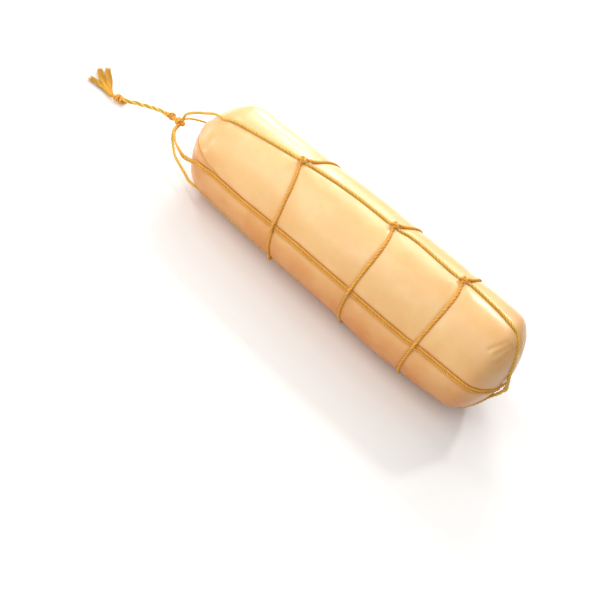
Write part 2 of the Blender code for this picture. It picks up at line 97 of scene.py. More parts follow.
# How a cord is laid: its number of plies, the length of a full twist, how far out the plies lie
# in shares of its radius, how uneven its girth and its twist are, the waves that they go by, what
# its twist adds to its seed, and how much painted shade between the plies its cut ends get. Then
# each cord that is laid in its own way.
PLIES = 3
CORD_PITCH = 0.0135
PLY_SEAT = 0.475
GIRTH_UNEVEN = 0.05
TWIST_UNEVEN = 0.06
RIPPLES = ((0.0034, 2.1), (0.0083, 3.7), (0.019, 5.3))
TWIST_SEED = 4
END_DEPTH = 0.5
TAIL_RADIUS = 0.0025
TAIL_LAY = {"seed": 2, "radius": TAIL_RADIUS, "pitch": 0.045, "seat": 0.50}
END_KNOT_LAY = {"radius": 0.0021, "pitch": 0.022, "seat": 0.45}
GATHER_LAY = {"radius": 0.00135, "pitch": 0.012}
CORE_LAY = {"seed": 9, "radius": 0.0029, "plies": 5, "pitch": 0.034, "seat": 0.62}
TIE_LAY = {"radius": 0.0014, "pitch": 0.009, "step": 0.0005, "closed": True}
FOOT_KNOT_LAY = {"seed": 5.5, "radius": 0.0014, "pitch": 0.011, "step": 0.0006, "closed": True}
LENGTHWISE_SEED = 6

# Where each lengthwise cord lies on the rind: distance from the tip, and angle in degrees.
TOP_RUN = (
    (0.030, -26.6), (0.054, -21.7), (0.086, -16.9), (0.114, -12.6), (0.124, -12.0),
    (0.136, -9.2), (0.165, -4.8), (0.194, -1.7), (0.220, -1.0), (0.239, -1.2),
    (0.248, -0.4), (0.256, 2.4), (0.270, 3.4), (0.297, 0.9), (0.310, -0.1),
    (0.3265, -0.2), (0.335, 3.2), (0.348, 2.7), (0.373, 0.8), (0.394, -3.2),
)
FRONT_RUN = (
    (0.036, -88), (0.056, -84.4), (0.085, -84.6), (0.101, -84.8), (0.143, -82.4),
    (0.176, -80.9), (0.230, -81.2), (0.296, -82.6), (0.321, -82.8), (0.342, -81),
    (0.391, -80.5),
)
UNDER_RUN = (
    (0.043, -131), (0.100, -131), (0.150, -136), (0.250, -147), (0.391, -150),
)
FAR_RUN = ((0.032, 103), (0.100, 100), (0.250, 98), (0.391, 97))
RUNS = (TOP_RUN, FRONT_RUN, UNDER_RUN, FAR_RUN)
FOOT_CROSSING = (-0.0150, 0.0035)
FOOT_BOW = -0.0050
FOOT_CLIMB_START = 0.6
SECOND_CORD_END = (-0.0156, -0.0004)
SECOND_SHORT_OF = 0.0012

# The cords where they stand clear of the hanging end: along, across and up from the axis.
TOP_SPAN = (
    (0.0165, -0.0200, 0.0410), (0.0017, -0.0140, 0.0288), (-0.0137, -0.0080, 0.0154),
    (-0.0262, -0.0035, 0.0020), (-0.0305, -0.0008, -0.0098), (-0.0325, -0.0002, -0.0138),
)
FRONT_SPAN = (
    (0.0190, -0.0549, -0.0010), (0.0070, -0.0497, -0.0032), (-0.0078, -0.0395, -0.0070),
    (-0.0210, -0.0250, -0.0105), (-0.0284, -0.0110, -0.0140), (-0.0300, -0.0053, -0.0156),
    (-0.0318, -0.0012, -0.0160),
)
SECOND_SPAN = (
    (0.0190, -0.0541, -0.0048), (0.0070, -0.0480, -0.0069), (-0.0078, -0.0373, -0.0100),
    (-0.0208, -0.0232, -0.0133), (-0.0274, -0.0112, -0.0172), (-0.0294, -0.0054, -0.0184),
    (-0.0316, -0.0012, -0.0170),
)
UNDER_SPAN = (
    (0.0237, -0.0345, -0.0440), (0.0130, -0.0305, -0.0432), (0.0014, -0.0260, -0.0427),
    (-0.0110, -0.0210, -0.0420), (-0.0209, -0.0150, -0.0390), (-0.0300, -0.0090, -0.0338),
    (-0.0345, -0.0045, -0.0275), (-0.0345, -0.0012, -0.0224), (-0.0350, -0.0004, -0.0186),
)
FAR_SPAN = (
    (0.0150, 0.0465, -0.0120), (-0.0010, 0.0405, -0.0150), (-0.0167, 0.0314, -0.0168),
    (-0.0260, 0.0236, -0.0166), (-0.0320, 0.0150, -0.0160), (-0.0335, 0.0056, -0.0152),
    (-0.0345, 0.0018, -0.0160),
)

# Each ring: its place, how far its knot is drawn to the hanging end and over how many degrees
# that fades on each side, the share that a slack far side gives back right beside the knot,
# how far the ring leans, and its knot's angle.
RING_TERMS = ("place", "drawn", "front_fade", "far_fade", "slack", "lean", "angle")
RINGS = tuple(
    dict(zip(RING_TERMS, ring))
    for ring in (
        (0.150, 0.0290, 46, 110, 0.30, 0.0095, -12.2),
        (0.249, 0.0165, 25, 28, 0.20, 0.0160, -1.4),
        (0.3318, 0.0095, 15, 22, 0.50, 0.0100, -0.7),
    )
)
SLACK_FADE = math.radians(5)
UNLEANT_ANGLE = math.radians(-80)
KNOT_TURN = 0.030
KNOT_CLEARANCE = 0.0065

# The small knots: each one's half sizes to the middle of its cord, how far they rise off the
# cord below, and where in its turn each ring's knot starts past the last one's.
TIE_KNOT = (0.0035, 0.0027, 0.0013)
FOOT_KNOT = (0.0034, 0.0030, 0.0009)
KNOT_RISE = 0.0002
TIE_START = 1.3

# The gathering knot, the free tail, the knot at its end and the tuft past that.
GATHER_START = (-0.0276, -0.0001, -0.0150)
GATHER_END = (-0.0540, 0.0010, -0.0202)
GATHER_CORE_ENDS = (-0.02, 1.04)
GATHER_CORE_POINTS = 60
TAIL_ROUTE = (
    (-0.0544, 0.0012, 0.0364), (-0.0667, 0.0028, 0.0320), (-0.0798, 0.0055, 0.0245),
    (-0.0926, 0.0077, 0.0170), (-0.1032, 0.0084, 0.0115), (-0.1113, 0.0070, 0.0078),
)
TAIL_INSIDE_KNOT = (-0.1185, 0.0034, 0.0060)
END_KNOT_CENTRE = (-0.1201, 0.0025, 0.0054)

# Wound cord, coil by coil: a seed, length, reach from the middle, turns, where they start in
# radians, and how far they lean. The second coil of a lump is a steep turn that crosses over the
# first. Each lump of the gathering knot also has its share of the way along the knot.
END_COILS = ((3, 0.0125, 0.0026, 2.9, 0.4, 0.0014), (4, -0.014375, 0.0035, 0.60, 0.8, 0.0))
GATHER_LUMPS = (
    (0.24, ((10, 0.0062, 0.0036, 2.8, 0.9, 0.0011), (12, -0.00775, 0.0048, 0.62, -2.4, 0.0))),
    (0.72, ((11, 0.0056, 0.0029, 2.4, 3.1, -0.0010), (13, -0.0070, 0.0041, 0.62, -0.5, 0.0))),
)
COIL_DIP = 0.75
COIL_DIP_POWER = 8

# The tuft: its strands from the end knot, as places along and across, then how a strand widens
# and how its fibres twist, wave, taper and end, by the share of the strand's length.
TUFT_SEED = 7
TUFT_INSIDE_KNOT = (-0.1215, 0.0018, 0.0056)
TUFT_ROOT = (-0.1308, 0.0000, 0.0040)
TUFT_STRANDS = (
    ((-0.1442, 0.0010), (-0.1553, 0.0010), (-0.1660, -0.0006)),
    ((-0.1441, 0.0036), (-0.1580, 0.0100), (-0.1738, 0.0222)),
    ((-0.1438, 0.0066), (-0.1556, 0.0164), (-0.1694, 0.0306)),
    ((-0.1423, 0.0080), (-0.1536, 0.0180), (-0.1655, 0.0274)),
)
STRAND_GAP = 0.0009
STRAND_HEIGHT = 0.0034
STRAND_RISE = 0.0002
STRAND_ROOT = 0.0012
STRAND_SPREAD = 0.0021
STRAND_SPREAD_BY = 0.65
STRAND_SPREAD_POWER = 1.4
STRAND_FLATNESS = (1.15, 0.80)
FIBRES = 110
FIBRE_ROWS = 10
FIBRE_SIDES = 4
FIBRE_RADIUS = 0.00026
FIBRE_TAPER = 0.4
FIBRE_TWIST = 5.0
FIBRE_UNTWIST = 0.3
FIBRE_WAVE = 0.00025
FIBRE_WAYS = (4, 9)
FIBRE_UNEVEN = 0.0040
FIBRE_LEAST_HEIGHT = 0.0004
# The fibres' painted shade: its gain towards the strand's sides, its random spread, and the row it is
# read at.
FIBRE_DARKNESS = (1.3, 0.35)
DARKNESS_ROW = 4

# The rind's own finer forms: the groove that a cord presses, and the crease beside the pair, with
# the painted shade beside the cords, in the furrows and on the strip below the crease.
GROOVE_DEPTH = 0.0013
GROOVE_WIDTH = 0.0022
GROOVE_STARTS = (0.012, 0.020)
GROOVE_ENDS = (0.006, 0.016)
CORD_SHADE_WIDTH = 0.0030
GRAIN_DEPTH = 0.00010
GRAIN_WAVES = 36
GRAIN_LENGTHS = (0.009, 0.045)
GRAIN_GAIN = 2.2
GRAIN_SEED = 11
FOLD_WIDTH = 0.0040
STRIP_WIDTH = 0.0070
CREASE_WIDTH = 0.0019
CREASE_DEPTH = 0.0026
FOLD_SHARE = 0.7
# Painted shade in the crease's furrow and on the strip on its lower side.
FURROW_SHADE = 1.8
STRIP_SHADE = 1.5
CREASE = (
    (0.0050, -40.0), (0.0066, -56.0), (0.0112, -67.0), (0.0207, -71.2), (0.0291, -73.0),
    (0.0376, -74.6), (0.0442, -77.0), (0.0530, -79.2), (0.0640, -80.4), (0.0740, -81.6),
)
CREASE_FADE = (0.068, 0.038)
FOOT_CREASE_DEPTH = 0.00075
# Painted shade in the foot's furrows.
FOOT_CREASE_SHADE = 0.6
FOOT_CREASES = (
    ((0.3885, -39.0), (0.3910, -33.5), (0.3940, -28.3), (0.3972, -21.3)),
    ((0.3960, -40.0), (0.3974, -35.5), (0.3993, -28.5), (0.4028, -20.0)),
    ((0.4028, -44.0), (0.4040, -36.3), (0.4056, -25.9), (0.4082, -12.0)),
    ((0.4052, 6.0), (0.4062, 20.0), (0.4050, 36.0)),
    ((0.4066, 120.0), (0.4050, 138.0), (0.4058, 160.0)),
)
FLAT_EASE = 0.0004

# Painted shade, where the rind's colour is made deeper: low on the tip, in the hollow beside the pair,
# and on the foot. Each range is where the shade begins and where it is full, with its share.
TIP_SHADE = (0.031, 0.015, 1.10)
TIP_SHADE_MOST = 0.55
HOLLOW = (0.026, 0.024, math.radians(-95), 0.28)
FOOT_SHADES = ((0.364, 0.396, 0.60), (0.404, 0.416, 0.25))
POLE_SHADES = (0.55, 0.85)

# Directions in the model's frame. No fibre follows the one askew, and no light the one tilted.
FOOTWARD = (1.0, 0.0, 0.0)
SIDEWAYS = (0.0, 1.0, 0.0)
UPWARD = (0.0, 0.0, 1.0)
ASKEW = (0.31, 0.17, 0.93)
TILTED = (0.0, 0.3, 1.0)

# Colours as linear light. A tint is a share and a colour, a noise is a scale, a detail and a
# roughness, and a bump is a depth in metres and a strength.
WHITE = (1.0, 1.0, 1.0)
MOTTLES = {"Cloud": (4.0, 0.55, 0.32, 0.68), "Fleck": (2.0, 0.6, 0.42, 0.72)}
RIND_MOTTLE = (30.0, 520.0)
RIND_CREAM = (0.835, 0.550, 0.242)
# This amber serves the rind's own amber clouds and also painted shade, deeper towards the bottom.
RIND_AMBER_AND_LOW_SHADE = (0.650, 0.208, 0.010)
LOW_SHADE_HEIGHTS = (0.104, 0.004)
LOW_SHADE_SHARE = 0.90
AMBER_CLOUD = 0.20
# Tints: painted shade (tip, hollow, foot), the rind's own flecks, painted shade by cords and creases.
SHADED_TINT = (0.60, (0.480, 0.190, 0.045))
FLECK_TINT = (0.10, (0.700, 0.400, 0.150))
CORD_AND_CREASE_SHADE_TINT = (0.32, (0.640, 0.300, 0.080))
RIND_ROUGHNESS = (0.34, 0.46)
SKIN_NOISE = (260.0, 3.0, 0.55)
SKIN_BUMP = (0.0004, 0.25)
RIND_LOOK = {
    "Subsurface Weight": 0.20, "Subsurface Radius": (1.0, 0.45, 0.20), "Subsurface Scale": 0.004,
    "Coat Weight": 0.38, "Coat Roughness": 0.23, "IOR": 1.45,
}

# Each cord's darker and lighter fibres, and the painted shade between its plies: its share and colour.
CORD_TONES = {
    "golden cord": ((0.740, 0.400, 0.050), (0.950, 0.680, 0.160), (0.70, (0.400, 0.205, 0.024))),
    "golden tail cord": ((0.740, 0.400, 0.050), (0.950, 0.680, 0.160), (0.95, (0.260, 0.150, 0.020))),
    "golden fibre": ((0.780, 0.370, 0.030), (0.970, 0.630, 0.100), (0.72, (0.400, 0.205, 0.024))),
    "orange cord": ((0.760, 0.310, 0.032), (0.975, 0.600, 0.125), (0.70, (0.480, 0.170, 0.016))),
}
CORD_MOTTLE = (45.0, 1400.0)
CORD_CLOUD = 0.30
STREAK_SCALE = (170.0, 6.0, 1.0)
STREAK_NOISE = (1.0, 4.0, 0.65)
FIBRE_NOISE = (700.0, 3.0, 0.6)
STREAK_RANGE = (0.34, 0.66)
TIP_RANGE = (0.78, 1.0)
TIP_TINT = (0.25, (0.330, 0.230, 0.050))
CORD_ROUGHNESS = (0.3, 0.7, 0.62, 0.82)
FLECK_BUMP = (0.0002, 0.35)
STREAK_BUMP = (0.0004, 0.8)
CORD_LOOK = {
    "Sheen Weight": 0.12, "Sheen Roughness": 0.5, "Sheen Tint": (1.0, 0.80, 0.45),
    "Specular IOR Level": 0.35,
}

# The floor, the surrounding, and the lights: place, what it faces, size, power and colour.
FLOOR_SPAN = (-9.0, 9.0, 9.0, -9.0)
FLOOR_LEVEL = -0.0002
FLOOR_LOOK = {
    "Base Color": (0.80, 0.795, 0.79), "Roughness": 0.9, "Specular IOR Level": 0.2,
    "Emission Color": WHITE, "Emission Strength": 0.07,
}
SURROUNDING = 0.38
LIGHTS = {
    "light_above": ((-0.40, 0.80, 1.05), (0.0, 0.0, 0.05), (0.9, 0.9), 5.7, (1.0, 0.985, 0.96)),
    "light_in_front": ((-0.28, -0.68, 1.16), (0.0, 0.0, 0.05), (1.2, 1.2), 11.1, (1.0, 0.97, 0.93)),
    "gloss_behind": ((0.224, 0.823, 0.993), (0.18, 0.0, 0.12), (0.12, 0.12), 4.4, WHITE),
    "gloss_along": ((-0.45, 0.86, 0.88), (-0.06, 0.0, 0.12), (0.35, 0.10), 3.6, WHITE),
    "gloss_low": ((-0.55, 1.07, 0.42), (-0.10, 0.01, 0.12), (0.22, 0.22), 2.2, WHITE),
    "gloss_beside": ((-1.039, -0.784, 0.416), (-0.15, -0.047, 0.09), (0.42, 0.20), 3.2, WHITE),
    "gloss_end": ((-0.90, 0.12, 1.02), (-0.15, -0.02, 0.11), (0.30, 0.30), 2.8, WHITE),
    "floor_light": ((-0.10, 1.70, 1.10), (-0.10, 1.75, 0.0), (0.5, 0.5), 5.0, WHITE),
}

# How finely the lines and skins are divided.
RIND_ROWS = 310
RIND_COLUMNS = 300
DOME_POINTS = 200
SIDE_POINTS = 400
SLOPE_STEP = 0.0005
SLOPE_TURN = 0.01
RUN_STEP = 0.006
FOOT_POINTS = 11
RING_POINTS = 720
KNOT_POINTS = 240
COIL_POINTS = 260
CURVE_STEP = 0.0005
CORD_STEP = 0.0009
PLY_COLUMNS = 6


def unit(ways):
    """Each direction at a length of one."""
    return ways / np.linalg.norm(ways, axis=-1, keepdims=True)


def bell(away, width):
    """1 at no distance, falling to either side: exp(-(away / width)^2)."""
    return np.exp(-((away / width) ** 2))


def swung(turn, first, second):
    """The direction at a turn from the first towards the second: first cos t + second sin t."""
    return np.cos(turn) * first + np.sin(turn) * second


def place(along, across, up):
    """Points given along, across and up from the cheese's axis, in the model's frame."""
    x = TIP_X + along * math.cos(AXIS_RISE) - up * math.sin(AXIS_RISE)
    z = AXIS_HEIGHT_AT_TIP + along * math.sin(AXIS_RISE) + up * math.cos(AXIS_RISE)
    return np.stack([x, across + AXIS_Y, z], axis=-1)


def beside_tip(points):
    """Points given from the tip, the axis and the surface below, in the model's frame."""
    return np.asarray(points, float) + np.array([TIP_X, AXIS_Y, 0.0])


def side_radius(along):
    """The radius of the long side: a parabola through the three stated radii."""
    t = np.clip(along, HANGING_DOME, LENGTH - FOOT_DOME) / LENGTH
    a, b, c = RADIUS_PLACES
    return (
        HANGING_RADIUS * (t - b) * (t - c) / ((a - b) * (a - c))
        + MIDDLE_RADIUS * (t - a) * (t - c) / ((b - a) * (b - c))
        + FOOT_RADIUS * (t - a) * (t - b) / ((c - a) * (c - b))
    )


def dome(depth_left, roundness):
    """The share of the side's radius where this share of a dome's depth is left to its tip."""
    gone = 1 - np.clip(depth_left, 0, 1)
    return (1 - gone**roundness) ** (1 / roundness)


def sharp_profile(along):
    """The mean radius at a distance from the tip: the side's radius times both domes."""
    along = np.clip(along, 0, LENGTH)
    hanging = dome(along / HANGING_DOME, HANGING_ROUNDNESS)
    return side_radius(along) * hanging * dome((LENGTH - along) / FOOT_DOME, FOOT_ROUNDNESS)


def profile(along):
    """The same with its shoulders eased: the mean over a stretch that narrows to the tips."""
    along = np.clip(along, 0, LENGTH)
    reach = np.minimum(SHOULDER_EASE, 0.5 * np.minimum(along, LENGTH - along))
    return sum(sharp_profile(along + share * reach) for share in EASE_SHARES) / len(EASE_SHARES)


def run_angle(run, along):
    """The angle of a lengthwise cord, in radians, at a distance from the tip."""
    places, angles = zip(*run)
    return np.radians(np.interp(along, places, angles))


def wrapped(turn):
    """The same turn between half a turn back and half a turn on."""
    return np.arctan2(np.sin(turn), np.cos(turn))


def ring_place(ring, angle):
    """How far from the tip a ring lies at each angle: a leaning plane, drawn in at its knot."""
    turn = wrapped(angle - math.radians(ring["angle"]))
    fade = np.radians(np.where(turn < 0, ring["front_fade"], ring["far_fade"]))
    slack = np.where(turn < 0, 0.0, ring["slack"])
    away = np.hypot(turn, KNOT_TURN) - KNOT_TURN
    share = (1 - slack) * np.exp(-away / fade) + slack * np.exp(-away / SLACK_FADE)
    drawn = ring["drawn"] * share * np.cos(turn / 2) ** 2
    lean = ring["lean"] * (1 - np.cos(angle - UNLEANT_ANGLE)) / 2
    return ring["place"] + lean - drawn


def run_distance(run, along, angle):
    """The distance round the rind to a lengthwise cord."""
    return np.abs(wrapped(angle - run_angle(run, along))) * profile(along)


def cord_distance(along, angle):
    """The distance over the rind to the nearest cord."""
    runs = [run_distance(run, along, angle) for run in RUNS]
    return np.minimum.reduce(runs + [np.abs(along - ring_place(ring, angle)) for ring in RINGS])


def knot_distance(along, angle):
    """The distance over the rind to the nearest knot of a ring."""
    away = []
    for ring in RINGS:
        turned = math.radians(ring["angle"])
        across = wrapped(angle - turned) * profile(along)
        away.append(np.hypot(along - ring_place(ring, turned), across))
    return np.minimum.reduce(away)


def patch(along, angle, middle, length, facing, width):
    """1 at a place on the rind, falling off along it and round it, each as a bell does."""
    turn = wrapped(angle - facing) / width
    return np.exp(-(((along - middle) / length) ** 2) - turn**2)


def rind_radius(along, angle):
    """The mean radius, swollen between the cords, gently uneven, and heavier low in front."""
    swell = SWELL * (1 - bell(cord_distance(along, angle), SWELL_WIDTH))
    waves = sum(np.sin(round_it * angle + down * along / LENGTH) for round_it, down in UNEVEN_WAVES)
    tips = np.minimum(along / HANGING_DOME, (LENGTH - along) / FOOT_DOME)
    fade = np.clip(tips, 0, 1) ** 2
    return profile(along) + fade * (swell + UNEVEN * waves + SAG_DEPTH * patch(along, angle, *SAG))


def rind_point(along, angle):
    """Points on the rind."""
    radius = rind_radius(along, angle)
    return place(along, radius * np.sin(angle), radius * np.cos(angle))


def rind_normal(along, angle):
    """The direction straight out of the rind, from its slopes along and round it."""
    ahead = np.clip(along + SLOPE_STEP, 0, LENGTH)
    behind = np.clip(along - SLOPE_STEP, 0, LENGTH)
    down = rind_point(ahead, angle) - rind_point(behind, angle)
    round_it = rind_point(along, angle + SLOPE_TURN) - rind_point(along, angle - SLOPE_TURN)
    return unit(np.cross(down, round_it))


def rind(along, angle, lift=0.0):
    """Points on the rind, or lifted off it along its normal."""
    return rind_point(along, angle) + rind_normal(along, angle) * np.expand_dims(lift, -1)


def smooth_line(points):
    """A Catmull-Rom curve through the points, as closely spaced points."""
    points = np.asarray(points, float)
    padded = np.vstack([2 * points[0] - points[1], points, 2 * points[-1] - points[-2]])
    pieces = []
    for before, start, end, after in zip(padded, padded[1:], padded[2:], padded[3:]):
        count = max(2, int(np.linalg.norm(end - start) / CURVE_STEP))
        t = np.linspace(0, 1, count, endpoint=False)[:, None]
        bent = 2 * before - 5 * start + 4 * end - after
        turned = 3 * start - before - 3 * end + after
        pieces.append(start + 0.5 * t * (end - before + t * (bent + t * turned)))
    return np.vstack([*pieces, points[-1:]])


def summed(steps):
    """The running sum of steps, from nothing."""
    return np.concatenate([[0.0], np.cumsum(steps)])


def sampled(line, run, at):
    """The line's points at these distances, given each of its own points' distance."""
    return np.stack([np.interp(at, run, line[:, i]) for i in range(3)], axis=-1)


def evenly(line, step, closed=False):
    """The same line at even steps, and how far each point is along it."""
    if closed:
        line = np.vstack([line, line[:1]])
    run = summed(np.linalg.norm(np.diff(line, axis=0), axis=1))
    at = np.linspace(0.0, run[-1], max(4, round(run[-1] / step)) + 1)
    points = sampled(line, run, at)
    return (points[:-1] if closed else points), at


def above_surface(points):
    """Eases points up so that a cord at them stays above what the cheese lies on."""
    over = (points[:, 2] - LEAST_HEIGHT) / HEIGHT_EASE
    return np.column_stack([points[:, :2], LEAST_HEIGHT + HEIGHT_EASE * np.logaddexp(0.0, over)])


def foot_along(across, up):
    """How far from the tip the foot lies, this far across and up from the axis."""
    reach = np.clip(np.hypot(across, up) / side_radius(LENGTH), 0, 1)
    return LENGTH - FOOT_DOME * (1 - (1 - reach**FOOT_ROUNDNESS) ** (1 / FOOT_ROUNDNESS))


def foot_line(run, offset=0.0, rise=0.0, end=FOOT_CROSSING, short_of=0.0, bow=0.0):
    """From the foot's shoulder over the foot, bowed sideways or not, rising near its end."""
    radius = side_radius(LENGTH)
    angle = math.radians(run[-1][1]) + offset / radius
    start = radius * np.array([math.sin(angle), math.cos(angle)])
    way = np.array(end) - start
    share = np.linspace(0, 1 - short_of / np.linalg.norm(way), FOOT_POINTS)[:, None]
    across, up = (start + share * way).T
    across = across + bow * np.sin(math.pi * share[:, 0])
    climb = np.clip((share[:, 0] - FOOT_CLIMB_START) / (1 - FOOT_CLIMB_START), 0, 1)
    lift = FOOT_LIFT + rise * climb * climb * (3 - 2 * climb)
    return rind(foot_along(across, up), np.arctan2(across, up), lift)


def run_line(run, offset=0.0, lift=CORD_LIFT):
    """Down the rind from the hanging end's shoulder to the foot's, dipped under each ring."""
    along = np.arange(run[0][0], run[-1][0] + RUN_STEP / 2, RUN_STEP)
    angle = run_angle(run, along) + offset / profile(along)
    crossed = np.zeros_like(along)
    for ring in RINGS:
        crossed += bell(along - ring_place(ring, angle), CROSSING_WIDTH)
    return rind(along, angle, lift - CORD_DIP * np.clip(crossed, 0, 1))


def cord_way(span, run, offset=0.0, lift=CORD_LIFT, **foot):
    """From the gathering knot over the span that stands clear, down the rind and over the foot."""
    clear = place(*np.array(span).T)[::-1]
    return np.vstack([clear, run_line(run, offset, lift), foot_line(run, offset, **foot)])


def lengthwise_routes():
    """The top cord, which comes back underneath, the front one, which comes back on the far
    side, and the second one of the front pair, which ends under the crossing on the foot."""
    top = cord_way(TOP_SPAN, TOP_RUN, rise=CROSSING_LIFT, bow=FOOT_BOW)
    under = cord_way(UNDER_SPAN, UNDER_RUN, lift=UNDER_LIFT, rise=CROSSING_LIFT)
    front = cord_way(FRONT_SPAN, FRONT_RUN, PAIR_OFFSET)
    far = cord_way(FAR_SPAN, FAR_RUN)
    second = cord_way(SECOND_SPAN, FRONT_RUN, -PAIR_OFFSET, end=SECOND_CORD_END, short_of=SECOND_SHORT_OF)
    return np.vstack([top, under[-2::-1]]), np.vstack([front, far[-2::-1]]), second


def ring_route(ring):
    """Round the cheese, rising over each lengthwise cord, and taut for a way past its knot."""
    angle = np.linspace(-math.pi, math.pi, RING_POINTS, endpoint=False)
    along = ring_place(ring, angle)
    radius = profile(along)
    rise = np.zeros_like(angle)
    for run, width in ((TOP_RUN, 0), (FRONT_RUN, PAIR_OFFSET), (UNDER_RUN, 0), (FAR_RUN, 0)):
        turn = wrapped(angle - run_angle(run, along))
        fall = TAUT_WIDTH if run is TOP_RUN else CROSSING_WIDTH
        fall = np.where(turn > 0, fall, CROSSING_WIDTH)
        rise = np.maximum(rise, bell(np.maximum(np.abs(turn) * radius - width, 0), fall))
    return rind(along, angle, RING_LIFT + CROSSING_RISE * rise)


def linked(name, data):
    """A new object in the scene."""
    made = bpy.data.objects.new(name, data)
    bpy.context.scene.collection.objects.link(made)
    return made


def stand(name, data, where, right, top, back):
    """An object at a place, with its own axes along these three directions."""
    made = linked(name, data)
    turned = Matrix([right, top, back]).transposed().to_4x4()
    made.matrix_world = Matrix.Translation(where) @ turned
    return made


def camera():
    """The photograph's camera: aimed by its turn and dip, then rolled about its own aim."""
    forward = np.array([
        -math.sin(CAMERA_TURN) * math.cos(CAMERA_DIP),
        math.cos(CAMERA_TURN) * math.cos(CAMERA_DIP),
        -math.sin(CAMERA_DIP),
    ])
    level = unit(np.cross(forward, UPWARD))
    upward = np.cross(level, forward)
    right = swung(CAMERA_ROLL, level, upward)
    top = swung(CAMERA_ROLL, upward, -level)
    data = bpy.data.cameras.new("photograph_camera")
    data.lens = LENS
    data.sensor_width = SENSOR
    made = stand("photograph_camera", data, CAMERA_PLACE, right, top, -forward)
    bpy.context.scene.camera = made


def grid_faces(rows, columns, closed=False):
    """The squares of a grid whose columns close on themselves, and whose rows may."""
    i = np.arange(rows if closed else rows - 1)[:, None]
    k = np.arange(columns)[None, :]
    near, far = i * columns, ((i + 1) % rows) * columns
    right = (k + 1) % columns
    return np.stack([near + k, near + right, far + right, far + k], axis=-1).reshape(-1, 4)


def tip_faces(rows, columns):
    """The triangles that close the first row on the point after the grid, and the last on the next."""
    k = np.arange(columns)
    right = (k + 1) % columns
    first = np.full(columns, rows * columns)
    last = (rows - 1) * columns
    return np.vstack([
        np.stack([first, right, k], axis=-1),
        np.stack([first + 1, last + k, last + right], axis=-1),
    ])


def skin_object(name, points, faces, finish, marks=None, uv=None):
    """A smooth mesh piece from arrays: points, groups of faces, a value per point, a UV per corner."""
    corners = np.concatenate([group.ravel() for group in faces])
    sizes = np.concatenate([np.full(len(group), group.shape[1]) for group in faces])
    mesh = bpy.data.meshes.new(name)
    mesh.vertices.add(len(points))
    mesh.vertices.foreach_set("co", points.astype(np.float32).ravel())
    mesh.loops.add(len(corners))
    mesh.loops.foreach_set("vertex_index", corners.astype(np.int32))
    mesh.polygons.add(len(sizes))
    mesh.polygons.foreach_set("loop_start", (np.cumsum(sizes) - sizes).astype(np.int32))
    for label, values in (marks or {}).items():
        layer = mesh.attributes.new(label, "FLOAT", "POINT")
        layer.data.foreach_set("value", values.astype(np.float32).ravel())
    if uv is not None:
        layer = mesh.uv_layers.new(name="UVMap")
        layer.data.foreach_set("uv", uv.astype(np.float32).ravel())
    mesh.update(calc_edges=True)
    mesh.validate()
    mesh.shade_smooth()
    mesh.materials.append(finish)
    return linked(name, mesh)


def frames(points, reference, closed=False):
    """Two directions across a line: the reference made square to the line, less the turn that
    it makes about the line, which is summed from point to point and undone."""
    if closed:
        along = unit(np.roll(points, -1, axis=0) - np.roll(points, 1, axis=0))
    else:
        along = unit(np.gradient(points, axis=0))
    first = unit(reference - (along @ reference)[:, None] * along)
    second = np.cross(along, first)
    if closed:
        return first, second
    middle = (second[1:] + second[:-1]) / 2
    turn = summed(np.sum(np.diff(first, axis=0) * middle, axis=1))[:, None]
    return swung(-turn, first, second), swung(turn, second, first)


def ply_section(turn, plies, seat):
    """A twisted cord's outline in shares of its radius: circles of 1-seat round a circle of seat.

    At a turn t from the middle of the nearest ply the distance is
    seat cos t + sqrt((1 - seat)^2 - (seat sin t)^2).
    """
    sector = 2 * math.pi / plies
    t = (turn + sector / 2) % sector - sector / 2
    inside = (1 - seat) ** 2 - (seat * np.sin(t)) ** 2
    return seat * np.cos(t) + np.sqrt(np.maximum(inside, 0.0))


def ripple(run, seed):
    """A gentle unevenness between -1 and 1: the mean of sines of unlike lengths."""
    return sum(np.sin(run / length + shift * seed) for length, shift in RIPPLES) / len(RIPPLES)


def cord_uv(at, columns):
    """Each square's corners as UV: how far along the cord, and how many plies round it."""
    near, far = (np.broadcast_to(end[:, None], (len(end), columns)) for end in (at[:-1], at[1:]))
    left = np.broadcast_to(np.arange(columns) / PLY_COLUMNS, near.shape)
    right = left + 1 / PLY_COLUMNS
    return np.stack([near, left, near, right, far, right, far, left], axis=-1).reshape(-1, 2)


def twist_along(run, length, plies, pitch, seed, closed):
    """How far the plies have turned at each point: once in each pitch, a little unevenly. Those
    of a closed cord turn evenly by a whole number of plies, so that they meet."""
    if closed:
        return 2 * math.pi / plies * round(length / pitch * plies) * run / length
    return 2 * math.pi * (run / pitch + TWIST_UNEVEN * ripple(run, seed + TWIST_SEED))


